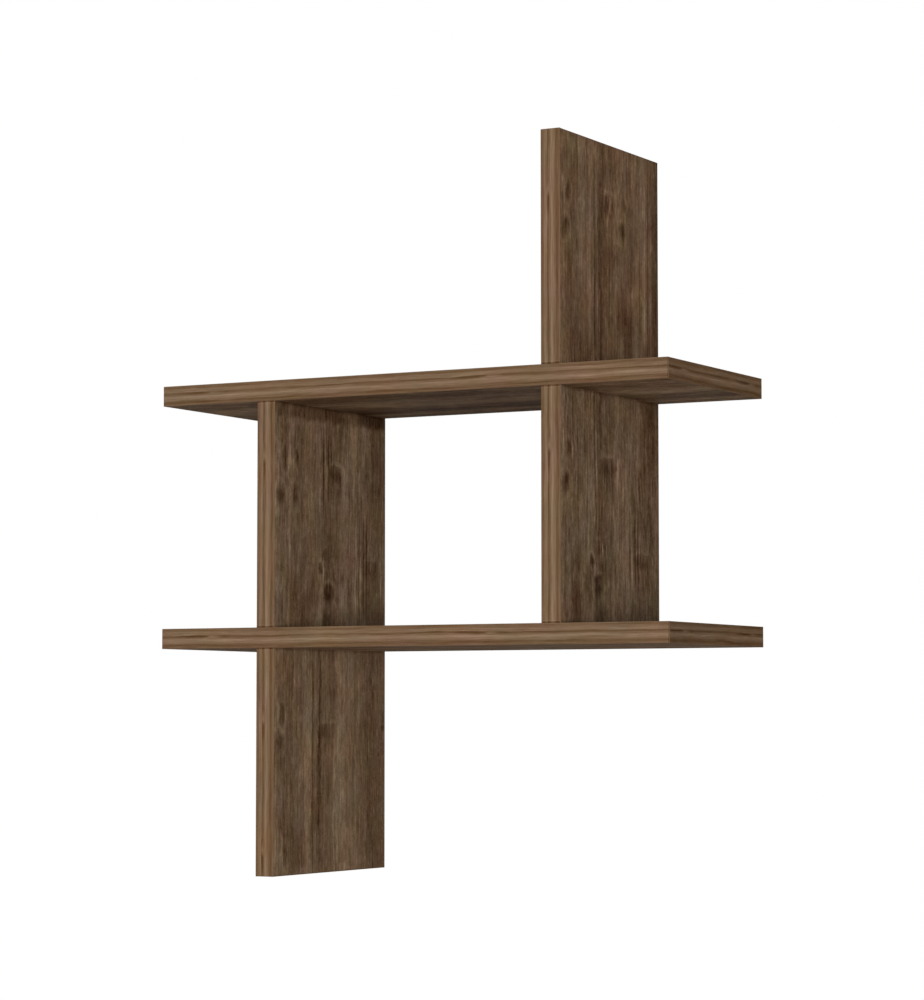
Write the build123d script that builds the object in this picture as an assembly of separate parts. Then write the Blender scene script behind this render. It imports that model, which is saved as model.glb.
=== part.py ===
"""A wall shelf of laminated chipboard: two shelves and four uprights, stepped from upper right to lower left.

Frame: X runs along the shelves with 0 at their middle, the wall is the plane Y = 0 with the front towards -Y,
and Z = 0 is the height of the entry holes in the two keyhole plates that the shelf hangs on.
"""

from build123d import *
import math
import os

os.makedirs("parts", exist_ok=True)

# Driving dimensions, in millimetres
BOARD = 18.0  # thickness of every board
DEPTH = 195.0  # front to back, with both edge bands
SHELF_WIDTH = 500.0  # with both end bands
UPRIGHT_HEIGHT = 200.0
OVERHANG = 100.0  # from a shelf's end to the outer face of the nearer middle upright
BAND = 0.8  # edge band
BAND_EASE = 0.6  # rounding of the band's outer edges

HANGER_DROP = 45.0  # underside of the upper shelf down to the keyholes

# Cam joint: a drum in a pocket in the upright's left face grips the head of a bolt in the upright's end
CAM_INSET = 34.0  # pocket centre to the upright's end
FIXING_SETBACK = 37.0  # bolt axis to the nearer edge of the board, front and back
CAM_POCKET_RADIUS, CAM_POCKET_DEPTH = 7.5, 14.0
CAM_RADIUS, CAM_LENGTH, CAM_RECESS = 7.4, 12.6, 1.2
CLAW_WIDTH, CLAW_ROOM = 5.6, 8.0  # slot for the bolt's neck, and room for its head
CAM_DRIVER = (5.8, 1.3, 2.6)  # length, width and depth of the cross recess
BOLT_BORE_RADIUS = 4.0
BOLT_SHANK_RADIUS = 3.7
BOLT_NECK_RADIUS, BOLT_NECK_LENGTH, BOLT_NECK_TAPER = 2.5, 5.0, 1.0
BOLT_HEAD_RADIUS, BOLT_HEAD_LENGTH, BOLT_HEAD_CHAMFER = 3.5, 3.0, 0.8
BOLT_HEAD_GAP = 0.02  # between the tightened claw and the head it pulls on
BOLT_DRIVER = (3.6, 0.9, 1.6)
THREAD_RADIUS, THREAD_ROOT_RADIUS, THREAD_LENGTH, THREAD_PITCH = 2.95, 2.25, 11.0, 2.2
THREAD_HOLE_RADIUS, THREAD_HOLE_DEPTH = 3.0, 12.0
CAP_RADIUS, CAP_THICKNESS, CAP_ROUND = 8.5, 1.0, 0.5
CAP_PLUG_RADIUS, CAP_PLUG_LENGTH = 6.6, 1.1

# Dowel joint: beside each bolt, nearer the middle of the board
DOWEL_SPACING = 32.0
DOWEL_RADIUS, DOWEL_LENGTH, DOWEL_CHAMFER = 4.0, 30.0, 0.8
DOWEL_HOLE_RADIUS = 4.05
DOWEL_IN_SHELF, DOWEL_HOLE_IN_SHELF = 7.6, 8.0
DOWEL_HOLE_IN_UPRIGHT = 23.0
FLUTES, FLUTE_DEPTH, FLUTE_RADIUS = 12, 0.35, 0.6

# Keyhole plate, let in flush with the back edge of a middle upright
PLATE_WIDTH, PLATE_LENGTH, PLATE_THICKNESS = 12.0, 46.0, 1.5
PLATE_GAP = 0.1  # all round the plate in its recess
PLATE_RISE = 3.0  # middle of the plate above its entry hole
ENTRY_RADIUS, SLOT_RADIUS, SLOT_RISE = 4.5, 2.25, 9.0
POCKET_WIDTH, POCKET_LENGTH, POCKET_DEPTH = 11.0, 26.0, 11.0  # room for the wall screw's head
PLATE_SCREW_OFFSET = 18.0
SCREW_RADIUS, SCREW_LENGTH, SCREW_HEAD_RADIUS, SCREW_HEAD_HEIGHT = 1.5, 16.0, 2.8, 1.3
SCREW_POINT = 3.0
SCREW_DRIVER = (2.6, 0.5, 0.8)
SCREW_PILOT_RADIUS, SCREW_PILOT_DEPTH = 1.6, 17.5

# Heights and places that follow from them
UPPER_BOTTOM = HANGER_DROP
UPPER_TOP = UPPER_BOTTOM + BOARD
LOWER_TOP = UPPER_BOTTOM - UPRIGHT_HEIGHT
LOWER_BOTTOM = LOWER_TOP - BOARD
LOWEST = LOWER_BOTTOM - UPRIGHT_HEIGHT
LEFT_FACE = -SHELF_WIDTH / 2 + OVERHANG  # left face of the left uprights
RIGHT_FACE = SHELF_WIDTH / 2 - OVERHANG - BOARD  # left face of the right uprights
BOLT_ROWS = (-FIXING_SETBACK, -DEPTH + FIXING_SETBACK)
DOWEL_ROWS = (BOLT_ROWS[0] - DOWEL_SPACING, BOLT_ROWS[1] + DOWEL_SPACING)


def block(low, high):
    """A box between two opposite corners."""
    size = [b - a for a, b in zip(low, high)]
    return Pos(*low) * Box(*size, align=(Align.MIN, Align.MIN, Align.MIN))


def rod(start, end, radius):
    """A round bar between two points."""
    axis = Vector(*end) - Vector(*start)
    plane = Plane(origin=start, z_dir=axis)
    return plane * Cylinder(radius, axis.length, align=(Align.CENTER, Align.CENTER, Align.MIN))


def turned(profile, place):
    """A solid of revolution about local Z, from (radius, height) points that start and end on the axis."""
    outline = make_face(Plane.XZ * Polyline(*profile, close=True))
    return place * revolve(outline, axis=Axis.Z)


def standing(x, y, z, up=1):
    """A place whose local Z points up the upright, or down it."""
    return Plane(origin=(x, y, z), x_dir=(1, 0, 0), z_dir=(0, 0, up))


def cross_recess(place, size):
    """The cutter of a cross-head drive, sunk along local Z from the origin of place."""
    length, width, depth = size
    return [place * Box(x, y, 2 * depth) for x, y in ((length, width), (width, length))]


def save(name, shape):
    export_step(shape, f"parts/{name}.step")


class Fixing:
    """Where one end of an upright meets a shelf; up is +1 or -1, from the shelf into the upright."""

    def __init__(self, left, shelf_face, up, through=False):
        self.left, self.face, self.up, self.through = left, shelf_face, up, through
        self.axis = left + BOARD / 2

    def cam_centres(self):
        return [(self.left, y, self.face + self.up * CAM_INSET) for y in BOLT_ROWS]

    def hole(self, y, direction, depth, radius):
        """A hole on the upright's middle plane, from the shelf's face up into the upright or down into the shelf."""
        end = self.face + direction * self.up * depth
        return rod((self.axis, y, self.face), (self.axis, y, end), radius)


RIGHT_TOP = Fixing(RIGHT_FACE, UPPER_TOP, 1, through=True)
RIGHT_UPPER = Fixing(RIGHT_FACE, UPPER_BOTTOM, -1, through=True)
RIGHT_LOWER = Fixing(RIGHT_FACE, LOWER_TOP, 1)
LEFT_UPPER = Fixing(LEFT_FACE, UPPER_BOTTOM, -1)
LEFT_LOWER = Fixing(LEFT_FACE, LOWER_TOP, 1, through=True)
LEFT_BOTTOM = Fixing(LEFT_FACE, LOWER_BOTTOM, -1, through=True)
FIXINGS = (RIGHT_TOP, RIGHT_UPPER, RIGHT_LOWER, LEFT_UPPER, LEFT_LOWER, LEFT_BOTTOM)


# Boards and their edge bands


def shelf_board(bottom, fixings):
    """A shelf without its bands, drilled for the fixings on its two faces."""
    half = SHELF_WIDTH / 2 - BAND
    board = block((-half, -DEPTH + BAND, bottom), (half, -BAND, bottom + BOARD))
    for fixing in fixings:
        depth, radius = THREAD_HOLE_DEPTH, THREAD_HOLE_RADIUS
        if fixing.through:
            depth, radius = BOARD, BOLT_BORE_RADIUS
        for y in BOLT_ROWS:
            board -= fixing.hole(y, -1, depth, radius)
        for y in DOWEL_ROWS:
            board -= fixing.hole(y, -1, DOWEL_HOLE_IN_SHELF, DOWEL_HOLE_RADIUS)
    return board


def upright_board(left, bottom, fixings, free_top=False, free_bottom=False, hanger=False):
    """An upright without its bands, with cam pockets, bolt bores and dowel holes at each fixing."""
    low = bottom + BAND * free_bottom
    high = bottom + UPRIGHT_HEIGHT - BAND * free_top
    board = block((left, -DEPTH + BAND, low), (left + BOARD, -BAND, high))
    for fixing in fixings:
        for x, y, z in fixing.cam_centres():
            board -= rod((x, y, z), (x + CAM_POCKET_DEPTH, y, z), CAM_POCKET_RADIUS)
            board -= fixing.hole(y, 1, CAM_INSET, BOLT_BORE_RADIUS)
        for y in DOWEL_ROWS:
            board -= fixing.hole(y, 1, DOWEL_HOLE_IN_UPRIGHT, DOWEL_HOLE_RADIUS)
    if hanger:
        board -= hanger_cutter(left + BOARD / 2)
    return board


def band(low, high, outward, long_axis, eased_ends=(False, False)):
    """An edge band: a strip whose outer face has its two long edges eased, and its ends where they are free."""
    strip = block(low, high)
    face = strip.faces().sort_by(outward)[-1]
    eased = [edge for edge in face.edges() if abs(edge.tangent_at(0).dot(long_axis.direction)) > 0.5]
    ends = face.edges().sort_by(long_axis)
    if eased_ends[0]:
        eased.append(ends[0])
    if eased_ends[1]:
        eased.append(ends[-1])
    return fillet(eased, BAND_EASE)


def shelf_bands(name, bottom):
    """Front, back, left and right bands; the front and back ones cover the ends of the other two."""
    half, top = SHELF_WIDTH / 2, bottom + BOARD
    free = (True, True)
    front = band((-half, -DEPTH, bottom), (half, -DEPTH + BAND, top), -Axis.Y, Axis.X, free)
    back = band((-half, -BAND, bottom), (half, 0, top), Axis.Y, Axis.X, free)
    left = band((-half, -DEPTH + BAND, bottom), (-half + BAND, -BAND, top), -Axis.X, Axis.Y)
    right = band((half - BAND, -DEPTH + BAND, bottom), (half, -BAND, top), Axis.X, Axis.Y)
    for side, strip in (("front", front), ("back", back), ("left_end", left), ("right_end", right)):
        save(f"{name}_{side}_band", strip)


def upright_bands(name, left, bottom, free_top=False, free_bottom=False, hanger=False):
    """Front and back bands over the full height, and one on an end that no shelf covers."""
    right, top = left + BOARD, bottom + UPRIGHT_HEIGHT
    free = (free_bottom, free_top)
    front = band((left, -DEPTH, bottom), (right, -DEPTH + BAND, top), -Axis.Y, Axis.Z, free)
    back = band((left, -BAND, bottom), (right, 0, top), Axis.Y, Axis.Z, free)
    if hanger:
        back -= hanger_cutter(left + BOARD / 2)
    save(f"{name}_front_band", front)
    save(f"{name}_back_band", back)
    if free_top:
        low, high = (left, -DEPTH + BAND, top - BAND), (right, -BAND, top)
        save(f"{name}_top_end_band", band(low, high, Axis.Z, Axis.Y))
    if free_bottom:
        low, high = (left, -DEPTH + BAND, bottom), (right, -BAND, bottom + BAND)
        save(f"{name}_bottom_end_band", band(low, high, -Axis.Z, Axis.Y))


# Keyhole plates


def slot_shape(x, z, width, length, front, back):
    """An upright slot with round ends, centred at (x, z) and running from Y = back to Y = front."""
    plane = Plane(origin=(x, front, z), x_dir=(0, 0, 1), z_dir=(0, -1, 0))
    return extrude(plane * SlotOverall(length, width), front - back)


def screw_places(x):
    return [(x, PLATE_RISE + side * PLATE_SCREW_OFFSET) for side in (-1, 1)]


def hanger_cutter(x):
    """What the plate, the wall screw's head and the plate's own screws take out of the back edge."""
    width, length = PLATE_WIDTH + 2 * PLATE_GAP, PLATE_LENGTH + 2 * PLATE_GAP
    cut = slot_shape(x, PLATE_RISE, width, length, 0, -PLATE_THICKNESS)
    cut += slot_shape(x, PLATE_RISE, POCKET_WIDTH, POCKET_LENGTH, 0, -POCKET_DEPTH)
    for sx, sz in screw_places(x):
        cut += rod((sx, 0, sz), (sx, -SCREW_PILOT_DEPTH, sz), SCREW_PILOT_RADIUS)
    return cut


def screw_head(x, z, slack=0.0):
    """The countersunk cone of a plate screw, its wide end in the plane Y = 0."""
    place = Plane(origin=(x, 0, z), x_dir=(1, 0, 0), z_dir=(0, -1, 0))
    wide, narrow = SCREW_HEAD_RADIUS + slack, SCREW_RADIUS + slack
    return turned([(0, 0), (wide, 0), (narrow, SCREW_HEAD_HEIGHT), (0, SCREW_HEAD_HEIGHT)], place)


def keyhole_plate(x):
    """A slotted steel plate: the wall screw's head goes in at the entry hole and rises into the slot."""
    plate = slot_shape(x, PLATE_RISE, PLATE_WIDTH, PLATE_LENGTH, 0, -PLATE_THICKNESS)
    plate -= rod((x, 0, 0), (x, -PLATE_THICKNESS, 0), ENTRY_RADIUS)
    slot_length = SLOT_RISE + 2 * SLOT_RADIUS
    plate -= slot_shape(x, SLOT_RISE / 2, 2 * SLOT_RADIUS, slot_length, 0, -PLATE_THICKNESS)
    for sx, sz in screw_places(x):
        plate -= screw_head(sx, sz, slack=0.1)
        plate -= rod((sx, 0, sz), (sx, -PLATE_THICKNESS, sz), SCREW_PILOT_RADIUS)
    return plate


def hanger_screw(x, z):
    """A countersunk screw with a cross recess and a pointed tip."""
    place = Plane(origin=(x, 0, z), x_dir=(1, 0, 0), z_dir=(0, -1, 0))
    profile = [
        (0, 0),
        (SCREW_HEAD_RADIUS, 0),
        (SCREW_RADIUS, SCREW_HEAD_HEIGHT),
        (SCREW_RADIUS, SCREW_LENGTH - SCREW_POINT),
        (0, SCREW_LENGTH),
    ]
    return turned(profile, place) - cross_recess(place, SCREW_DRIVER)


# Cam joint hardware


def cam(x, y, z, up):
    """A die-cast drum. Its claw opens towards the shelf, so the head of the bolt is held behind it."""
    inner = x + CAM_RECESS
    centre = x + BOARD / 2
    drum = rod((inner, y, z), (inner + CAM_LENGTH, y, z), CAM_RADIUS)
    half, room = CLAW_WIDTH / 2, CLAW_ROOM / 2
    rim = z - up * (CAM_RADIUS + 1)
    low, high = sorted((z, rim))
    drum -= block((centre - half, y - half, low), (centre + half, y + half, high))
    drum -= block((centre - room, y - room, z - room), (centre + room, y + room, z + room))
    return drum - cross_recess(Plane(origin=(inner, y, z), z_dir=(1, 0, 0)), CAM_DRIVER)


def bolt_end(face):
    """A bolt's outline beyond the shelf's face: a shank, a thin neck and the head that the claw pulls on."""
    head = face + CAM_INSET - CLAW_ROOM / 2 + BOLT_HEAD_GAP
    neck = head - BOLT_NECK_LENGTH
    end = head + BOLT_HEAD_LENGTH
    return [
        (BOLT_SHANK_RADIUS, neck - BOLT_NECK_TAPER),
        (BOLT_NECK_RADIUS, neck),
        (BOLT_NECK_RADIUS, head),
        (BOLT_HEAD_RADIUS, head),
        (BOLT_HEAD_RADIUS, end - BOLT_HEAD_CHAMFER),
        (BOLT_HEAD_RADIUS - BOLT_HEAD_CHAMFER, end),
        (0, end),
    ]


def single_bolt(fixing, y):
    """A bolt screwed into the shelf, its thread drawn as rings, with its head in the upright's cam."""
    profile = [(0, -THREAD_LENGTH)]
    for turn in range(int(THREAD_LENGTH / THREAD_PITCH)):
        foot = turn * THREAD_PITCH - THREAD_LENGTH
        profile += [(THREAD_ROOT_RADIUS, foot), (THREAD_RADIUS, foot + THREAD_PITCH / 2)]
    profile += [(THREAD_ROOT_RADIUS, 0), (BOLT_SHANK_RADIUS, 0), *bolt_end(0)]
    bolt = turned(profile, standing(fixing.axis, y, fixing.face, fixing.up))
    tip = fixing.face + fixing.up * profile[-1][1]
    return bolt - cross_recess(standing(fixing.axis, y, tip, -fixing.up), BOLT_DRIVER)


def double_bolt(fixing, y):
    """A bolt through the shelf with a head at each end, for two uprights in line."""
    half = bolt_end(BOARD / 2)
    profile = [(radius, -height) for radius, height in reversed(half)] + half
    return turned(profile, standing(fixing.axis, y, fixing.face - fixing.up * BOARD / 2))


def cap(x, y, z):
    """A cover cap pressed into the mouth of a cam pocket, its flange on the upright's left face."""
    place = Plane(origin=(x, y, z), x_dir=(0, 1, 0), z_dir=(-1, 0, 0))
    flange = place * Cylinder(CAP_RADIUS, CAP_THICKNESS, align=(Align.CENTER, Align.CENTER, Align.MIN))
    flange = fillet(flange.edges().sort_by(Axis.X)[0], CAP_ROUND)
    return flange + rod((x, y, z), (x + CAP_PLUG_LENGTH, y, z), CAP_PLUG_RADIUS)


def dowel(fixing, y):
    """A fluted beech dowel, chamfered at both ends."""
    start = fixing.face - fixing.up * DOWEL_IN_SHELF
    place = standing(fixing.axis, y, start, fixing.up)
    inner = DOWEL_RADIUS - DOWEL_CHAMFER
    shoulder = DOWEL_LENGTH - DOWEL_CHAMFER
    profile = [
        (0, 0),
        (inner, 0),
        (DOWEL_RADIUS, DOWEL_CHAMFER),
        (DOWEL_RADIUS, shoulder),
        (inner, DOWEL_LENGTH),
        (0, DOWEL_LENGTH),
    ]
    pin = turned(profile, place)
    reach = DOWEL_RADIUS - FLUTE_DEPTH + FLUTE_RADIUS
    for i in range(FLUTES):
        angle = 2 * math.pi * i / FLUTES
        flute = Pos(reach * math.cos(angle), reach * math.sin(angle), DOWEL_LENGTH / 2)
        pin -= place * flute * Cylinder(FLUTE_RADIUS, DOWEL_LENGTH)
    return pin


# Boards

save("upper_shelf_board", shelf_board(UPPER_BOTTOM, (RIGHT_TOP, RIGHT_UPPER, LEFT_UPPER)))
save("lower_shelf_board", shelf_board(LOWER_BOTTOM, (LEFT_LOWER, LEFT_BOTTOM, RIGHT_LOWER)))
shelf_bands("upper_shelf", UPPER_BOTTOM)
shelf_bands("lower_shelf", LOWER_BOTTOM)

UPRIGHTS = {
    "right_top_upright": (RIGHT_FACE, UPPER_TOP, (RIGHT_TOP,), {"free_top": True}),
    "right_middle_upright": (RIGHT_FACE, LOWER_TOP, (RIGHT_UPPER, RIGHT_LOWER), {"hanger": True}),
    "left_middle_upright": (LEFT_FACE, LOWER_TOP, (LEFT_UPPER, LEFT_LOWER), {"hanger": True}),
    "left_bottom_upright": (LEFT_FACE, LOWEST, (LEFT_BOTTOM,), {"free_bottom": True}),
}
for name, (left, bottom, fixings, options) in UPRIGHTS.items():
    save(f"{name}_board", upright_board(left, bottom, fixings, **options))
    upright_bands(name, left, bottom, **options)

# Hardware

cams = [cam(*centre, fixing.up) for fixing in FIXINGS for centre in fixing.cam_centres()]
caps = [cap(*centre) for fixing in FIXINGS for centre in fixing.cam_centres()]
single_bolts = [single_bolt(fixing, y) for fixing in (RIGHT_LOWER, LEFT_UPPER) for y in BOLT_ROWS]
double_bolts = [double_bolt(fixing, y) for fixing in (RIGHT_TOP, LEFT_LOWER) for y in BOLT_ROWS]
dowels = [dowel(fixing, y) for fixing in FIXINGS for y in DOWEL_ROWS]
save("cam_locks", Compound(children=cams))
save("cam_cover_caps", Compound(children=caps))
save("single_ended_cam_bolts", Compound(children=single_bolts))
save("double_ended_cam_bolts", Compound(children=double_bolts))
save("wooden_dowels", Compound(children=dowels))

HANGERS = {"left": LEFT_FACE + BOARD / 2, "right": RIGHT_FACE + BOARD / 2}
for side, x in HANGERS.items():
    save(f"{side}_keyhole_plate", keyhole_plate(x))
screws = [hanger_screw(*place) for x in HANGERS.values() for place in screw_places(x)]
save("hanger_screws", Compound(children=screws))
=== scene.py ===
"""Looks of the wall shelf: walnut-printed boards and edge bands, hidden fittings, studio light and camera.

Every piece is a CAD node with its own procedural material. All patterns are worked out in millimetres
of the row frame: X = 0 at the middle of the shelves, Y = 0 at the wall, Z = 0 at the keyholes.
"""

import math

import bpy
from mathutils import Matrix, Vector

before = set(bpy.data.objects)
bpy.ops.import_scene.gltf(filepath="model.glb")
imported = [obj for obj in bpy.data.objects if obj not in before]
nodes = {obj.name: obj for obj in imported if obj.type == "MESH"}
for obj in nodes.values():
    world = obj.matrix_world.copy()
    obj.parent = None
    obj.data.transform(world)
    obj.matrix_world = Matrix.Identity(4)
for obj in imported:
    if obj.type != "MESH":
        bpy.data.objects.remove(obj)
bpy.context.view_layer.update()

MM = 0.001
DEPTH = 195.0  # front to back
BOARD = 18.0  # thickness
HALF_WIDTH = 250.0  # of a shelf
UPRIGHT = 200.0  # height

WALNUT = (0.1635, 0.098, 0.055)  # mean colour of the printed decor, linear
COOL_WALNUT = (0.1635, 0.103, 0.0595)  # of the two middle uprights
OLIVE_WALNUT = (0.1605, 0.0998, 0.0568)  # of the lowest upright
FACE_SHARE = (0.85, 1.015, 1.18)  # how strongly a tone changes red, green and blue
BAND_SHARE = (0.80, 1.015, 1.34)
FACE_LEVEL = 70.0  # tones below are in these levels, so a tone of -70 would be black
BAND_LEVEL = 96.0
LINE_HALF_WIDTH = 2.0  # a mark narrower than this is a line of the grain
FACE_TURN = 0.9  # a surface that looks this much along the face's direction carries the face's print
BAND_TURN = 0.75  # the same for an edge band, whose rounded edges carry some of it
CONTACT_SHADE_REACH = (0.8, 3.0)  # a joint's line of painted shade is full up to the first and gone by the second


# ---------------------------------------------------------------------------------------------- nodes


class Num:
    """A number that varies over a surface: a node socket with arithmetic."""

    def __init__(self, graph, socket):
        self.graph, self.socket = graph, socket

    def __add__(self, other):
        return self.graph.math("ADD", self, other)

    def __sub__(self, other):
        return self.graph.math("SUBTRACT", self, other)

    def __rsub__(self, other):
        return self.graph.math("SUBTRACT", other, self)

    def __mul__(self, other):
        return self.graph.math("MULTIPLY", self, other)

    def __truediv__(self, other):
        return self.graph.math("DIVIDE", self, other)

    __radd__, __rmul__ = __add__, __mul__


class Graph:
    """A node tree, written as arithmetic."""

    def __init__(self, tree):
        self.tree = tree

    def add(self, kind, **settings):
        node = self.tree.nodes.new(kind)
        for key, value in settings.items():
            setattr(node, key, value)
        return node

    def feed(self, socket, value):
        if isinstance(value, Num):
            value = value.socket
        if isinstance(value, bpy.types.NodeSocket):
            self.tree.links.new(value, socket)
        else:
            socket.default_value = value

    def math(self, operation, *values):
        node = self.add("ShaderNodeMath", operation=operation)
        for socket, value in zip(node.inputs, values):
            self.feed(socket, value)
        return Num(self, node.outputs[0])

    def vector_math(self, operation, *values):
        node = self.add("ShaderNodeVectorMath", operation=operation)
        for socket, value in zip(node.inputs, values):
            self.feed(socket, value)
        return node

    def split(self, socket):
        node = self.add("ShaderNodeSeparateXYZ")
        self.feed(node.inputs[0], socket)
        return [Num(self, output) for output in node.outputs]

    def join(self, x, y, z):
        node = self.add("ShaderNodeCombineXYZ")
        for socket, value in zip(node.inputs, (x, y, z)):
            self.feed(socket, value)
        return node.outputs[0]

    def place(self):
        """X, Y and Z in the row frame, in millimetres."""
        where = self.add("ShaderNodeTexCoord").outputs["Object"]
        return self.split(self.vector_math("MULTIPLY", where, (1 / MM,) * 3).outputs[0])

    def facing(self):
        """X, Y and Z of the surface's direction."""
        return self.split(self.add("ShaderNodeNewGeometry").outputs["True Normal"])

    def noise_node(self, a, b, size, seed, detail):
        """Smooth noise whose patches are about size[0] by size[1] millimetres along a and b."""
        node = self.add("ShaderNodeTexNoise", noise_dimensions="3D")
        self.feed(node.inputs["Vector"], self.join(a / size[0], b / size[1], seed))
        node.inputs["Scale"].default_value = 1.0
        node.inputs["Detail"].default_value = detail
        node.inputs["Roughness"].default_value = 0.55
        return node

    def noise(self, a, b, size, seed, detail=2.0):
        """The same as a number that is 0 on average and usually within 1 of it."""
        node = self.noise_node(a, b, size, seed, detail)
        return (Num(self, node.outputs["Fac"]) - 0.5) * (7.5 + 1.6 * detail)

    def ease(self, value, start, end, low=0.0, high=1.0):
        """low before start, high after end, and a smooth step between them."""
        node = self.add("ShaderNodeMapRange", interpolation_type="SMOOTHSTEP")
        for socket, given in zip(node.inputs, (value, start, end, low, high)):
            self.feed(socket, given)
        return Num(self, node.outputs[0])

    def curve(self, value, length, stops):
        """A smooth line through (place, tone) stops, for places from 0 to length and tones within 50."""
        node = self.add("ShaderNodeValToRGB")
        ramp = node.color_ramp
        ramp.interpolation = "EASE"
        while len(ramp.elements) < len(stops):
            ramp.elements.new(0.5)
        for element, (place, tone) in zip(ramp.elements, stops):
            element.position = place / length
            element.color = (0.5 + tone / 100,) * 3 + (1.0,)
        self.feed(node.inputs[0], value / length)
        return (Num(self, node.outputs[0]) - 0.5) * 100.0

    def mark(self, a, b, across, along, half, before, after, boxy, tone):
        """One knot, drop or streak of the print, centred at (across, along)."""
        node = self.add("ShaderNodeGroup", node_tree=mark_group())
        given = (a, b, across, along, half, before, after, boxy, tone)
        for socket, value in zip(node.inputs, given):
            self.feed(socket, value)
        return Num(self, node.outputs[0])


def mark_group():
    """Tone of one mark with its faint opposite rim. Its outline is round at 2 and boxy at 4."""
    name = "mark"
    if name in bpy.data.node_groups:
        return bpy.data.node_groups[name]
    tree = bpy.data.node_groups.new(name, "ShaderNodeTree")
    for label in ("A", "B", "Across", "Along", "Half", "Before", "After", "Boxy", "Tone"):
        tree.interface.new_socket(name=label, in_out="INPUT", socket_type="NodeSocketFloat")
    tree.interface.new_socket(name="Tone", in_out="OUTPUT", socket_type="NodeSocketFloat")
    g = Graph(tree)
    given = g.add("NodeGroupInput").outputs
    a, b, across, along, half, before, after, boxy, tone = [Num(g, s) for s in given[:9]]
    aside = g.math("ABSOLUTE", (a - across) / half)
    offset = b - along
    past = g.math("DIVIDE", g.math("MAXIMUM", offset, 0.0), after)
    short = g.math("DIVIDE", g.math("MINIMUM", offset, 0.0), before)
    ahead = g.math("ABSOLUTE", past + short)
    total = g.math("POWER", aside, boxy) + g.math("POWER", ahead, boxy)
    reach = g.math("POWER", total, g.math("DIVIDE", 1.0, boxy))
    core = g.math("SUBTRACT", 0.9, g.math("DIVIDE", 1.4, boxy))
    body = g.ease(reach, core, 1.0, 1.0, 0.0)
    rim = g.ease(reach, 0.85, 1.15) * g.ease(reach, 1.15, 1.6, 1.0, 0.0)  # a paler edge round a dark mark
    g.feed(g.add("NodeGroupOutput").inputs[0], tone * (body - rim * 0.3))
    return tree


# --------------------------------------------------------------------------------------------- decors

# A mark is (across, along, half width, reach before, reach after, outline, tone), across from the
# front edge and along from the top of an upright, in millimetres. A profile is (across, tone) stops.

KNOT_AND_FLAME = [
    (9, 82, 9, 10, 12, 2, -12.5), (13, 78, 3.5, 6, 6, 2, -6), (16, 50, 5.5, 8, 14, 2, -11),
    (6, 45, 3, 10, 18, 2, 8), (23, 54, 2.5, 12, 16, 2, 8), (26, 42, 2, 6, 10, 2, 5),
    (3, 60, 2.0, 8, 8, 2, 5), (20, 70, 2.0, 6, 10, 2, 5),
]
FRONT_LINES = [
    (66.3, 100, 1.5, 120, 120, 4, -6.5), (68.2, 100, 0.9, 120, 120, 4, 2), (71, 100, 1.4, 120, 120, 4, 6),
    (73.6, 100, 0.9, 120, 120, 4, -4), (78, 100, 3.6, 120, 120, 3, -7), (84, 100, 2.0, 120, 120, 3, -2),
]


def block(across, along, half, tone, tall=1.0):
    """A soft dark block with a pale line over its top edge and down its sides, darkest along the top."""
    return [
        (across, along, half * 1.15, 4, 14 * tall, 4, tone * 0.7),
        (across, along + 10 * tall, half * 1.1, 11, 24 * tall, 3, tone * 0.5),
        (across, along - 6, half, 2, 2, 4, -tone * 0.25),
        (across - half - 4, along + 8, 1.6, 16, 20, 3, -tone * 0.45),
        (across + half + 4, along + 10, 2, 16, 20, 3, -tone * 0.45),
    ]


def patches(*places):
    """Broad soft shading, each patch given as (across, along, tone)."""
    return [(across, along, 14, 26, 26, 2, tone * 1.4) for across, along, tone in places]


class Decor:
    def __init__(self, seed, profile, marks, contrast, shade, base=WALNUT):
        self.seed, self.profile, self.marks = seed, profile, marks
        self.contrast, self.shade, self.base = contrast, shade, base


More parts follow.
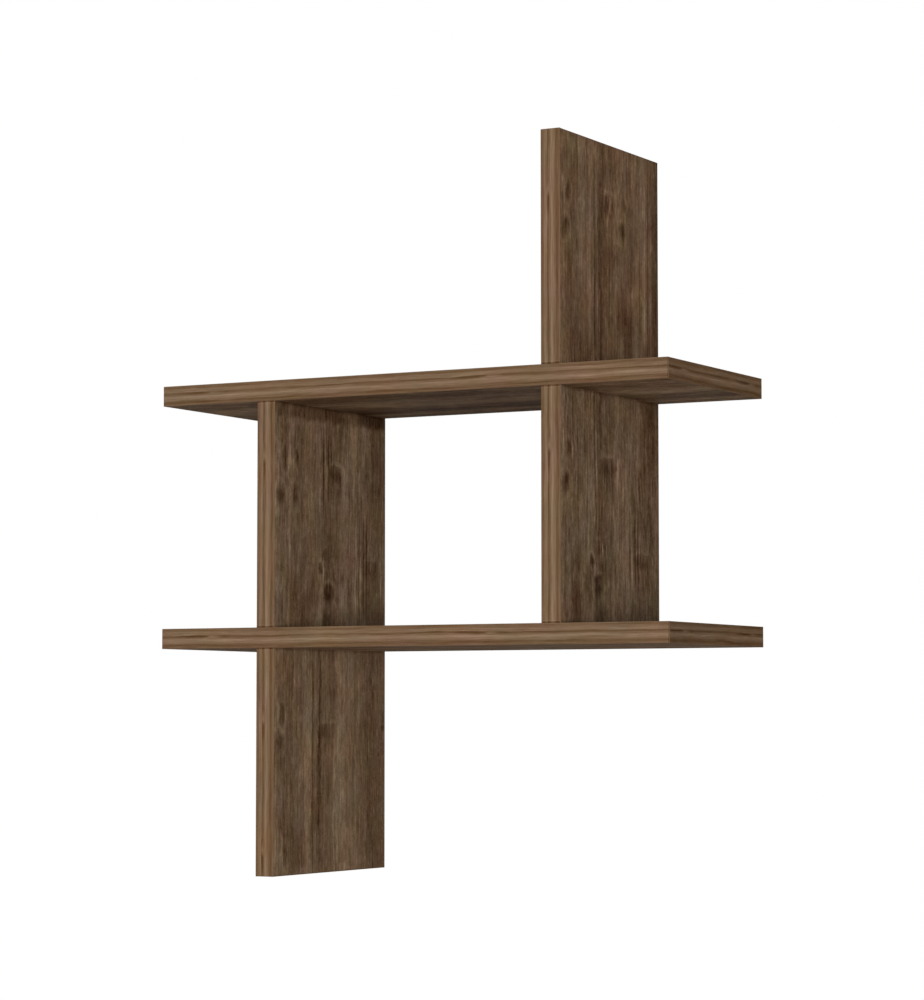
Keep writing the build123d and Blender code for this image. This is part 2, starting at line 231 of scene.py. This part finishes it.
RIGHT_TOP = Decor(
    1.3,
    [(0, 9), (6, 4), (12, -1), (32, -2), (37, 4), (50, 2), (56, 8), (62, 6), (66, -3), (71, -1),
     (78, -8), (86, -4), (98, -2), (107, 5), (113, 5), (120, -1), (138, -2), (146, 4), (158, 2),
     (166, 9), (171, -4), (177, -2), (184, -11), (195, -10)],
    KNOT_AND_FLAME + FRONT_LINES + patches(
        (149, 151, -5), (103, 10, -5), (40, 139, -4), (119, 177, 4), (102, 124, 4), (56, 184, 3),
        (105, 45, -2),
    ) + [
        (89.5, 55, 4.8, 14, 12, 2, -13), (102, 54, 4.2, 10, 10, 2, -9),
        (110, 72, 3.0, 10, 10, 2, -4), (120, 71, 8.5, 8, 12, 2.3, -12), (124, 49, 4.5, 8, 8, 2, -7),
        (96, 52, 2, 10, 10, 2, 6), (108, 50, 2.2, 14, 16, 2, 7), (128, 60, 2.0, 10, 14, 2, 5),
        (114, 40, 2.5, 9, 9, 2, 6), (130, 46, 2.5, 8, 12, 2, 6),
        (92, 42, 20, 3, 3, 4, 4), (112, 88, 10, 5, 16, 3, -3),
        (42, 182, 24, 34, 40, 2, -5), (128, 162, 18, 40, 30, 2, -5), (96, 112, 14, 30, 34, 3, -3),
        (50, 85, 1.0, 12, 80, 3, -5), (53, 88, 1.0, 12, 80, 3, 4), (157, 110, 1.3, 45, 70, 3, -8),
        (160.5, 110, 1.2, 45, 90, 3, -4), (166.5, 110, 1.9, 60, 90, 3, 3), (173, 100, 1.6, 120, 120, 4, -9),
        (178, 100, 1.5, 120, 120, 4, 4), (188, 60, 8, 14, 150, 4, -4), (98, 10, 140, 9, 12, 3, 2),
        (82, 5, 1.4, 10, 150, 3, -6), (85, 20, 1.0, 20, 120, 3, 4), (97, 215, 150, 120, 40, 2, -4),
        (70, 175, 6, 35, 40, 3, -3), (100, 95, 60, 60, 60, 2, -2),
    ],
    1.17, -3.1,
)
RIGHT_MIDDLE = Decor(
    2.7,
    [(0, 8), (6, 4), (12, -1), (24, -2), (34, 0), (40, 4), (50, 2), (57, 6), (62, 3), (67, -5),
     (71, -3), (77, -7), (84, -5), (92, -1), (98, 0), (107, 7), (116, 4), (126, 6), (133, 3),
     (141, 0), (148, -3), (160, -4), (170, -5), (182, -3), (195, 2)],
    KNOT_AND_FLAME + block(90, 59, 16, -8) + block(160, 139, 16, -7) + patches(
        (102, 21, -5), (56, 170, -4.5), (103, 182, 5), (27, 157, -3), (171, 108, -3), (41, 20, 3),
        (163, 70, -3), (118, 107, -3),
    ) + [
        (65.5, 40, 1.6, 60, 62, 4, -8), (68.5, 40, 1.2, 60, 62, 4, 4), (71.5, 40, 1.2, 60, 62, 4, -5),
        (77, 30, 3.5, 60, 26, 3, -5),
        (60, 145, 4.0, 6, 7, 2, -14), (74, 136, 5.5, 9, 9, 2, -9), (76, 150, 1.8, 10, 12, 2, -7),
        (66, 146, 2.4, 12, 13, 2, 8), (81, 138, 2.2, 10, 10, 2, 7), (89, 139, 2.4, 10, 10, 2, 8),
        (85, 130, 2.4, 8, 12, 2, -6), (72.5, 163, 10.5, 6, 14, 3, -12), (72.5, 180, 9.5, 14, 70, 3, -6),
        # The wide mark at (98, 182) is painted light: it lifts the bottom of the face where the lower shelf
        # shades it.
        (60, 178, 2.0, 20, 40, 3, 4), (98, 182, 140, 40, 24, 3, 1),
        (66, 108, 2.5, 10, 12, 2, 6), (58, 100, 2.0, 12, 14, 2, 5), (50, 98, 1.6, 14, 14, 2, -6),
        (148, 45, 2.4, 30, 24, 2, 5), (28, 182, 15, 22, 30, 2, -8),
        (135, 130, 1.5, 42, 48, 4, -10), (139, 130, 1.6, 42, 48, 4, 7), (145.5, 130, 1.9, 42, 48, 4, -9),
        (151, 130, 1.3, 42, 46, 4, -10), (154.2, 130, 1.3, 42, 46, 4, 5),
        (185, 20, 28, 60, 70, 2.5, -7), (50, 60, 1.2, 40, 60, 3, 5), (46, 20, 1.2, 30, 100, 3, -6),
    ],
    1.34, -4.3, COOL_WALNUT,
)
LEFT_MIDDLE = Decor(
    4.1,
    [(0, 8), (6, 4), (14, -2), (20, 0), (26, 6), (31, 1), (38, -3), (50, -3), (58, 2), (66, 0),
     (76, 4), (83, -2), (92, -8), (100, -4), (112, 0), (122, 7), (130, 4), (139, 7), (145, 2),
     (151, 2), (158, -4), (172, -4), (186, -2), (195, 3)],
    block(104, 54, 11.5, -10) + block(168, 139, 14, -7) + patches(
        (68, 164, -6), (117, 182, 6), (145, 184, 4), (25, 26, -3), (160, 35, 3), (116, 153, 3),
        (120, 28, -2.5), (56, 184, -3),
    ) + [
        (9, 82, 8.5, 11, 13, 2, -13), (34, 81, 7.5, 11, 14, 2, -13), (18, 48, 5, 10, 14, 2, -10),
        (38, 46, 4, 8, 12, 2, -11), (21, 80, 2.2, 14, 16, 2, 8), (10, 42, 3, 8, 16, 2, 8),
        (27, 44, 2.5, 10, 16, 2, 8),
        (33, 54, 2.0, 8, 14, 2, 7), (25, 30, 2.0, 8, 12, 2, 5),
        (77.5, 57, 1.9, 44, 46, 4, 5), (83, 57, 1.5, 44, 46, 4, -11), (87, 57, 1.3, 44, 46, 4, 6),
        (91.5, 50, 1.5, 38, 44, 4, -9), (96.5, 36, 1.3, 22, 26, 4, -7), (101, 28, 1.2, 14, 18, 4, 5),
        (78.5, 145, 3.8, 6, 8, 2, -17), (84, 146, 2.4, 12, 13, 2, 8), (88.5, 145, 2.0, 7, 9, 2, 6),
        (93, 136, 2.6, 13, 11, 2, -9), (102, 139, 2.6, 10, 11, 2, 8), (86, 132, 6, 5, 7, 2, -6),
        (98, 132, 2.0, 8, 8, 2, 5), (92.5, 164, 10.5, 7, 15, 2.5, -15), (91, 182, 9.5, 16, 70, 3, -6),
        # The wide mark at (98, 178) is painted light: it lifts the bottom of the face where the lower shelf
        # shades it.
        (70, 96, 1.3, 14, 60, 3, -5), (104, 172, 2.4, 16, 40, 3, 4), (98, 178, 140, 44, 28, 3, 2),
        (98, 1, 190, 4, 13, 5, -8.5), (172, 1, 26, 4, 12, 4, -4),
        (141, 142, 1.9, 52, 70, 4, 7), (147, 142, 1.4, 52, 70, 4, -8), (150.2, 142, 1.3, 52, 70, 4, 6),
        (155, 142, 1.6, 52, 56, 4, -10), (160.3, 142, 1.5, 52, 56, 4, -9), (164, 142, 1.4, 52, 56, 4, 4),
        (184, 30, 22, 60, 100, 2.5, -4), (40, 175, 30, 40, 40, 2, -4),
    ],
    1.31, -2.5, COOL_WALNUT,
)
LEFT_BOTTOM = Decor(
    5.9,
    [(0, 9), (6, 5), (11, -1), (22, 0), (30, -2), (37, 4), (46, 4), (55, 9), (62, 7), (66, -3),
     (71, -1), (78, -7), (86, -1), (100, 0), (107, 8), (116, 10), (126, 7), (138, 5), (146, 2),
     (156, -4), (166, -7), (178, -4), (195, 1)],
    KNOT_AND_FLAME[:1] + block(90, 71, 16, -6, 0.7) + FRONT_LINES + patches(
        (105, 47, -4.5), (7, 124, 3.5), (22, 160, -3.5), (5, 80, 3),
    ) + [
        (14, 60, 6, 12, 10, 2, -9), (8, 52, 3, 8, 18, 2, 8), (22, 60, 2.5, 8, 16, 2, 8),
        (77, 100, 3, 30, 120, 4, -2), (167, 27, 3, 12, 14, 2, -6), (172, 24, 1.8, 10, 16, 2, 5),
        (190, 71, 5, 4, 5, 2, -9), (183, 94, 3.5, 3, 4, 2, -8),
        (182, 95, 26, 110, 140, 3, -3), (160, 30, 8, 40, 24, 2, 3),
        (137, 140, 1.6, 62, 70, 4, -6), (141, 150, 1.4, 70, 60, 4, 5), (50, 100, 1.2, 12, 70, 3, -7),
        (53, 100, 1.0, 12, 70, 3, 4), (158, 45, 2.0, 30, 22, 2, 6), (154, 70, 2.0, 12, 20, 2, -6),
        (13, 170, 3.5, 10, 22, 2, 8), (20, 182, 4, 12, 18, 2, -10), (23, 172, 2.0, 10, 22, 2, 6),
        (104, 130, 3, 60, 80, 3, 4), (100, 20, 10, 30, 30, 3, -4), (36, 175, 18, 30, 30, 2, -5),
    ],
    1.18, -3.4, OLIVE_WALNUT,
)

# The shelves' decor runs along X: across is from the front edge, along from the left end.
UPPER_SHELF = Decor(
    7.3,
    [(0, 8), (6, 2), (20, 1), (28, -3), (38, -4), (46, 0), (56, 4), (66, 8), (82, 7), (97, 9),
     (105, 3), (112, -3), (122, -5), (132, -8), (142, -14), (151, -12), (160, -1), (167, 4), (177, -6),
     (195, -3)],
    [
        (40, 90, 8, 12, 16, 2, -10), (52, 60, 5, 24, 14, 2, 6), (30, 62, 4, 24, 14, 2, 5),
        (66, 330, 6, 10, 14, 2, -7), (80, 322, 5, 30, 18, 2, 5), (24, 260, 12, 60, 90, 2, -3),
        # (128, 110) is painted shade at the back of the underside beside the left middle upright. (97,
        # 455), (88, 450) and (97, 50) are painted light: they make the underside beyond each middle upright
        # lighter than between them.
        (86, 215, 45, 70, 80, 2, 3), (128, 110, 60, 40, 60, 2, -6), (97, 455, 140, 56, 60, 4, 5),
        (97, 50, 140, 60, 50, 4, 3.5), (88, 450, 26, 60, 60, 3, 2.5),
        (104, 300, 1.4, 130, 160, 4, -7), (58, 200, 1.5, 190, 200, 4, -6), (138, 250, 1.3, 150, 160, 4, -6),
        (20, 380, 8, 30, 60, 2, 4), (82, 240, 1.6, 120, 200, 4, 5), (124, 200, 1.4, 160, 120, 4, 5),
    ],
    1.5, -7.0,
)
LOWER_SHELF = Decor(
    9.1,
    [(0, 8), (10, -2), (24, 3), (36, -3), (48, -7), (58, 2), (72, 7), (84, 3), (94, -6), (104, -8),
     (114, 2), (128, 5), (140, 7), (150, -2), (164, -8), (178, -2), (195, 3)],
    [
        (62, 150, 8, 12, 16, 2, -11), (74, 122, 5, 24, 14, 2, 8), (50, 124, 4, 24, 14, 2, 7),
        (130, 320, 9, 12, 26, 2, -7), (118, 312, 3, 24, 20, 2, 5), (30, 300, 6, 10, 14, 2, -10),
        (100, 60, 9, 14, 26, 2, -7), (40, 420, 8, 12, 16, 2, -10), (52, 396, 5, 26, 14, 2, 7),
        (160, 200, 18, 70, 80, 2, -7), (98, 250, 1.5, 200, 220, 4, -9), (46, 220, 1.4, 150, 170, 4, -8),
        (150, 440, 14, 40, 60, 2, -7), (20, 80, 12, 50, 60, 2, 6),
    ],
    1.45, -2.0,
)

# The narrow decor of the edge bands: across from the left edge or the top, 18 mm in all.
BAND_PROFILE = [(0, 4), (1.2, -4), (2.4, -4), (3.8, 8), (5.6, 8), (7.2, -11), (8.6, 1), (10.4, 17),
                (12.4, 8), (15.4, -11), (17, -4), (18, -3)]
SPOT_LIGHT_FIRST = [  # dark spot with the light gap before it, centred on 0 along
    (7.4, 0, 1.8, 8, 18, 2, -15), (7.6, -9, 1.9, 8, 6, 2, 11), (11, -16, 1.2, 14, 16, 2, -6),
]
SPOT_LIGHT_LAST = [(7.6, 0, 1.8, 26, 10, 2, -15), (7.6, 14, 1.7, 6, 12, 2, 11)]


def spots(kind, *places):
    """The marks of a spot, set down at each place along a band."""
    return [(across, along + place, *rest) for place in places for across, along, *rest in kind]


# ------------------------------------------------------------------------------------------ materials


def new_material(name):
    material = bpy.data.materials.new(name)
    material.use_nodes = True
    material.node_tree.nodes.clear()
    return material, Graph(material.node_tree)


def finish_material(g, colour, roughness, height=None, bump=0.00002, metallic=0.0, specular=0.08):
    """Joins the surface's values to one Principled shader."""
    shader = g.add("ShaderNodeBsdfPrincipled")
    g.feed(shader.inputs["Base Color"], colour)
    g.feed(shader.inputs["Roughness"], roughness)
    shader.inputs["Metallic"].default_value = metallic
    shader.inputs["Specular IOR Level"].default_value = specular
    if height is not None:
        node = g.add("ShaderNodeBump")
        node.inputs["Strength"].default_value = 1.0
        node.inputs["Distance"].default_value = bump
        g.feed(node.inputs["Height"], height)
        g.feed(shader.inputs["Normal"], node.outputs[0])
    g.feed(g.add("ShaderNodeOutputMaterial").inputs["Surface"], shader.outputs[0])


def tinted(g, tone, level, a, b, seed, base=WALNUT, shares=FACE_SHARE, hue=(0.25, 0.11, 0.35)):
    """The decor's colour at a tone, drifting a little between reddish and olive."""
    light = g.join(*[
        g.math("POWER", g.math("MAXIMUM", tone * (share / level) + 1.0, 0.12), 2.2) for share in shares])
    drift = g.noise_node(a, b, (24.0, 40.0), seed + 40.0, 0.5).outputs["Color"]
    steady = [1.0 - amount / 2 for amount in hue]
    drift = g.vector_math("MULTIPLY_ADD", drift, hue, steady).outputs[0]
    colour = g.vector_math("MULTIPLY", drift, base).outputs[0]
    return g.vector_math("MULTIPLY", colour, light).outputs[0]


def mix_colour(g, share, first, second):
    node = g.add("ShaderNodeMix", data_type="RGBA")
    g.feed(node.inputs[0], share)
    g.feed(node.inputs[6], first)
    g.feed(node.inputs[7], second)
    return node.outputs[2]


def face_decor(g, a, b, decor):
    """(tone, fine grain) of the printed walnut of a board's faces."""
    seed = decor.seed
    sway = g.noise(a, b, (70.0, 60.0), seed) * 0.5 + g.noise(a, b, (18.0, 26.0), seed + 5.0) * 0.15
    a2 = a + sway
    broad = g.noise(a2, b, (24.0, 70.0), seed + 11.0)
    tone = g.curve(a2, DEPTH, decor.profile) * (broad * 0.2 + 0.85)
    tone = tone + broad * 1.6
    tone = tone + g.noise(a2, b, (8.0, 160.0), seed + 13.0) * 1.4
    tone = tone + g.noise(a2, b, (3.0, 110.0), seed + 17.0, 1.0) * 2.4
    tone = tone + g.noise(a2, b, (1.1, 90.0), seed + 21.0, 2.0) * 1.5
    pale = g.noise(a2, b, (2.6, 17.0), seed + 33.0, 1.0)
    dark = g.noise(a2, b, (2.2, 28.0), seed + 35.0, 1.0)
    tone = tone + g.ease(pale, 0.5, 1.5, 0.0, 7.0) - g.ease(dark, 0.6, 1.5, 0.0, 7.0)
    mottle = g.noise(a, b, (9.0, 20.0), seed + 25.0)
    tone = tone + mottle * 1.9
    tone = tone + g.noise(a, b, (3.4, 6.0), seed + 27.0) * 2.0
    grain = g.noise(a, b, (0.8, 12.0), seed + 19.0, 3.0)
    pores = g.noise(a, b, (0.8, 2.0), seed + 23.0, 2.0)
    tone = tone + grain * 1.6 + pores * 2.6
    ragged_a = a2 + g.noise(a, b, (6.0, 9.0), seed + 29.0) * 0.7
    ragged_b = b + g.noise(a, b, (12.0, 14.0), seed + 31.0) * 0.9
    marks = 0.0
    for mark in decor.marks:
        line = mark[2] < LINE_HALF_WIDTH  # a line stays straight
        marks = g.mark(a2 if line else ragged_a, b if line else ragged_b, *mark) + marks
    tone = tone + marks * (mottle * 0.15 + 1.4)
    return tone * decor.contrast + decor.shade, grain + pores


def painted_contact_shade(g, value, places, tone):
    """A thin line of painted shade where a board meets its neighbour, at each place along value."""
    shade_lines = 0.0
    for place in places:
        shade_lines = g.ease(g.math("ABSOLUTE", value - place), *CONTACT_SHADE_REACH, tone, 0.0) + shade_lines
    return shade_lines


def board_material(name, decor, top, joints, top_joints=()):
    """Printed faces on chipboard.

    top is the height of an upright's top edge. A shelf has none, and its grain runs along X.
    joints are the heights where an upright meets the shelves, or the places along X where uprights meet
    a shelf's underside, with top_joints for its top face. A thin line of painted shade runs along each of
    them, and along an upright's back edge.
    """
    material, g = new_material(name)
    x, y, z = g.place()
    normal = g.facing()
    if top is None:
        out, length, b = normal[2] * -1.0, 2 * HALF_WIDTH, x + HALF_WIDTH
    else:
        out, length, b = normal[0], UPRIGHT, top - z
    a = y + DEPTH
    turned = g.math("LESS_THAN", out, 0.0)  # the other face carries the same sheet turned end for end
    a = a + turned * (DEPTH - a * 2.0)
    b = b + turned * (length - b * 2.0)
    tone, fine = face_decor(g, a, b, decor)
    if top is None:
        # Thin lines of painted shade on the underside and on the top where the uprights meet the shelf.
        below = painted_contact_shade(g, x, joints, -10.0) * (turned * -1.0 + 1.0)
        tone = tone + below + painted_contact_shade(g, x, top_joints, -9.0) * turned
    else:
        # Thin lines of painted shade where the upright meets the shelves and along its back edge.
        tone = tone + painted_contact_shade(g, z, joints, -9.0) + painted_contact_shade(g, y, (0.0,), -7.0)
    printed = tinted(g, tone, FACE_LEVEL, a, b, decor.seed, decor.base)
    chips = g.add("ShaderNodeTexVoronoi")
    g.feed(chips.inputs["Vector"], g.join(x / 2.4, y / 2.4, z / 1.4))
    raw = mix_colour(g, chips.outputs["Distance"], (0.50, 0.36, 0.22, 1.0), (0.30, 0.20, 0.11, 1.0))
    core = g.math("LESS_THAN", g.math("ABSOLUTE", out), FACE_TURN)
    colour = mix_colour(g, core, printed, raw)
    finish_material(g, colour, fine * -0.015 + 0.6, fine)
    return material


def band_material(name, axis, a, b, seed, marks, base=-3.5, cut_tone=1.0):
    """Printed edge band: axis is the way its printed face looks, a and b give across and along."""
    material, g = new_material(name)
    place = dict(zip("xyz", g.place()))
    a, b = a(**place), b(**place)
    sway = g.noise(a, b, (30.0, 80.0), seed) * 0.25 + g.noise(a, b, (9.0, 26.0), seed + 3.0) * 0.07
    a2 = a + sway
    strong = g.noise(a, b, (5.0, 70.0), seed + 7.0) * 0.2 + 1.1
    tone = g.curve(a2, BOARD, BAND_PROFILE) * strong
    tone = tone + g.noise(a2, b, (3.0, 60.0), seed + 9.0) * 1.8
    tone = tone + g.noise(a2, b, (0.9, 50.0), seed + 11.0, 3.0) * 4.0
    grain = g.noise(a2, b, (0.35, 16.0), seed + 13.0, 2.0)
    tone = tone + grain * 1.5 + g.noise(a2, b, (1.6, 12.0), seed + 17.0) * 1.5
    for across, along, half, before, after, boxy, strength in marks:
        tone = tone + g.mark(a2, b, across, along, half, before, after, boxy, strength)
    tone = tone * 1.12 + base
    printed = tinted(g, tone, BAND_LEVEL, a, b, seed, WALNUT, BAND_SHARE, (0.18, 0.08, 0.26))
    out = g.math("ABSOLUTE", g.facing()["xyz".index(axis)])
    side = g.math("LESS_THAN", out, BAND_TURN)
    cut = tinted(g, g.noise(a, b, (4.0, 12.0), seed + 15.0) * 1.5 + cut_tone, FACE_LEVEL, a, b, seed)
    finish_material(g, mix_colour(g, side, printed, cut), grain * -0.02 + 0.55, grain, 0.00002)
    return material


def give(node, material):
    mesh = nodes[node].data
    mesh.materials.clear()
    mesh.materials.append(material)


# Boards.
for node, decor, top, joints, top_joints in (
    ("right_top_upright_board", RIGHT_TOP, 263.0, (63.0,), ()),
    ("right_middle_upright_board", RIGHT_MIDDLE, 45.0, (45.0, -155.0), ()),
    ("left_middle_upright_board", LEFT_MIDDLE, 45.0, (45.0, -155.0), ()),
    ("left_bottom_upright_board", LEFT_BOTTOM, -173.0, (-173.0,), ()),
    ("upper_shelf_board", UPPER_SHELF, None, (-150.0, -132.0, 132.0, 150.0), (132.0, 150.0)),
    ("lower_shelf_board", LOWER_SHELF, None, (-150.0, -132.0), (-150.0, -132.0, 132.0, 150.0)),
):
    give(node, board_material(node + "_walnut", decor, top, joints, top_joints))

# Bands of the uprights: across from the left face, along from the top.
for upright, left, top, seed, places, joints in (
    ("right_top", 132.0, 263.0, 21.0, (61.0,), (200,)),
    ("right_middle", 132.0, 45.0, 23.0, (60.0,), (0, 200)),
    ("left_middle", -150.0, 45.0, 25.0, (58.0,), (0, 200)),
    ("left_bottom", -150.0, -173.0, 27.0, (71.0, 186.0), (0,)),
):
    for side, shift in (("front", 0.0), ("back", 50.0)):
        name = f"{upright}_upright_{side}_band"
        marks = spots(SPOT_LIGHT_FIRST, *places) if side == "front" else spots(SPOT_LIGHT_LAST, 120.0)
        # A thin line of painted shade across each band end where it butts against a shelf.
        marks += [(9, joint, 20, 1.6, 1.6, 4, -22) for joint in joints]
        give(name, band_material(
            name + "_walnut", "y",
            lambda x, y, z, left=left: x - left,
            lambda x, y, z, top=top: top - z,
            seed + shift, marks, base=-5.8 if upright == "left_bottom" else -3.5,
            cut_tone=1.0 if side == "front" else -14.0))
for name, left, seed in (
    ("right_top_upright_top_end_band", 132.0, 31.0),
    ("left_bottom_upright_bottom_end_band", -150.0, 33.0),
):
    give(name, band_material(
        name + "_walnut", "z",
        lambda x, y, z, left=left: x - left,
        lambda x, y, z: y + DEPTH,
        seed, spots(SPOT_LIGHT_FIRST, 70.0), cut_tone=-14.0))

# Bands of the shelves: across from the top, along from the left end or from the front.
for shelf, top, seed in (("upper", 63.0, 35.0), ("lower", -155.0, 37.0)):
    across = lambda x, y, z, top=top: top - z
    for side, shift, places in (("front", 0.0, (40.0, 320.0)), ("back", 60.0, (150.0, 410.0))):
        name = f"{shelf}_shelf_{side}_band"
        marks = spots(SPOT_LIGHT_LAST, *places)
        marks += [(9, end, 20, 1.4, 1.4, 4, -14) for end in (0, 500)]
        give(name, band_material(
            name + "_walnut", "y", across, lambda x, y, z: x + HALF_WIDTH, seed + shift, marks))
    for side, shift in (("left", 70.0), ("right", 80.0)):
        name = f"{shelf}_shelf_{side}_end_band"
        give(name, band_material(
            name + "_walnut", "x", across, lambda x, y, z: y + DEPTH,
            seed + shift, spots(SPOT_LIGHT_LAST, 18.0, 158.0), base=-10.0))


# --------------------------------------------------------------------------------------------- fittings


def metal_material(name, colour, streaks, roughness):
    """Plated or cast metal with faint streaks and cloudiness."""
    material, g = new_material(name)
    x, y, z = g.place()
    brushed = g.noise(x + y, z, streaks, 3.0, 3.0)
    cloudy = g.noise(x + y, z, (6.0, 6.0), 8.0)
    light = g.math("MAXIMUM", brushed * 0.03 + cloudy * 0.04 + 1.0, 0.2)
    scaled = g.add("ShaderNodeVectorMath", operation="SCALE")
    scaled.inputs[0].default_value = colour
    g.feed(scaled.inputs["Scale"], light)
    rough = cloudy * 0.02 + brushed * 0.015 + roughness
    finish_material(g, scaled.outputs[0], rough, brushed, 0.00001, 1.0, 0.5)
    return material


def cap_material():
    """Moulded brown plastic with a fine leathery skin."""
    material, g = new_material("brown_cap_plastic")
    x, y, z = g.place()
    skin = g.noise(y, z, (0.5, 0.5), 2.0, 2.0)
    mottle = g.noise(y, z, (5.0, 9.0), 6.0)
    colour = tinted(g, mottle * 0.8 + skin * 0.6 - 6.0, FACE_LEVEL, y, z, 6.0)
    finish_material(g, colour, skin * 0.02 + 0.42, skin, 0.00001, 0.0, 0.4)
    return material


def dowel_material():
    """Pressed beech with short dark flecks along the peg."""
    material, g = new_material("beech")
    x, y, z = g.place()
    fleck = g.noise(x, z, (0.6, 5.0), 4.0, 3.0)
    grain = g.noise(y, z, (1.2, 14.0), 7.0, 2.0)
    colour = tinted(g, fleck * 2.5 + grain * 2.5, FACE_LEVEL, y, z, 9.0, (0.56, 0.36, 0.19))
    finish_material(g, colour, grain * 0.02 + 0.6, fleck, 0.00003)
    return material


zinc = metal_material("zinc_plate", (0.62, 0.63, 0.64), (0.3, 14.0), 0.34)
die_cast = metal_material("die_cast_zinc", (0.52, 0.52, 0.53), (1.2, 1.2), 0.48)
for node in ("left_keyhole_plate", "right_keyhole_plate", "hanger_screws"):
    give(node, zinc)
for node in ("cam_locks", "single_ended_cam_bolts", "double_ended_cam_bolts"):
    give(node, die_cast)
give("cam_cover_caps", cap_material())
give("wooden_dowels", dowel_material())


# ------------------------------------------------------------------------------------------- stage

FLOOR_Z = -1.2
FLOOR_RADIUS = 3.8
ROOM_LIGHT = 0.09


def make_floor():
    """A pale round floor under the shelf. It lights the shelf from below and shows its soft shadow."""
    mesh = bpy.data.meshes.new("floor")
    sides = 96
    rim = [(math.cos(t), math.sin(t)) for t in (2 * math.pi * i / sides for i in range(sides))]
    corners = [(FLOOR_RADIUS * c, FLOOR_RADIUS * s, FLOOR_Z) for c, s in rim]
    mesh.from_pydata(corners, [], [tuple(range(sides))])
    floor = bpy.data.objects.new("floor", mesh)
    bpy.context.scene.collection.objects.link(floor)
    material, g = new_material("pale_floor")
    speck = g.noise(*g.place()[:2], (400.0, 400.0), 1.0)
    finish_material(g, g.join(speck * 0.003 + 0.42, speck * 0.003 + 0.41, speck * 0.003 + 0.39), 0.8)
    mesh.materials.append(material)
    floor.is_shadow_catcher = True


def make_light(name, towards, strength, softness, shadow=True, colour=(1.0, 1.0, 1.0)):
    """A soft, even lamp that shines from a direction, given as a vector that points at it."""
    data = bpy.data.lights.new(name, "SUN")
    data.energy, data.angle, data.use_shadow, data.color = strength, math.radians(softness), shadow, colour
    light = bpy.data.objects.new(name, data)
    light.rotation_euler = Vector(towards).to_track_quat("Z", "Y").to_euler()
    light.location = Vector(towards) * 4.0
    bpy.context.scene.collection.objects.link(light)


def make_world():
    """White all round to the camera, and a softer even light on the shelf."""
    world = bpy.data.worlds.new("studio")
    bpy.context.scene.world = world
    world.use_nodes = True
    tree = world.node_tree
    tree.nodes.clear()
    g = Graph(tree)
    seen = g.add("ShaderNodeLightPath").outputs["Is Camera Ray"]
    background = g.add("ShaderNodeBackground")
    background.inputs["Color"].default_value = (1.0, 1.0, 1.0, 1.0)
    g.feed(background.inputs["Strength"], g.ease(Num(g, seen), 0.0, 1.0, ROOM_LIGHT, 1.0))
    g.feed(g.add("ShaderNodeOutputWorld").inputs["Surface"], background.outputs[0])


make_world()
make_floor()
make_light("key", (0.45, -0.89, -0.05), 3.05, 20.0)
make_light("fill", (0.10, -0.20, -1.0), 0.285, 40.0, shadow=False, colour=(1.0, 0.98, 0.90))
make_light("side", (0.86, -0.50, 0.0), 0.30, 40.0)
make_light("top", (0.0, -0.15, 1.0), 1.6, 40.0)
make_light("back", (-0.75, 0.62, 0.22), 1.5, 30.0)

camera_data = bpy.data.cameras.new("camera")
camera_data.lens = 112.92
camera_data.sensor_width = 36.0
camera_data.clip_end = 200.0
camera = bpy.data.objects.new("camera", camera_data)
camera.location = (1.3354, -2.5327, -0.2322)
aim = Vector((0.0026, -0.0967, -0.0416))
camera.rotation_euler = (aim - camera.location).to_track_quat("-Z", "Y").to_euler()
bpy.context.scene.collection.objects.link(camera)
bpy.context.scene.camera = camera

bpy.context.scene.view_settings.view_transform = "Standard"
bpy.context.scene.view_settings.look = "None"
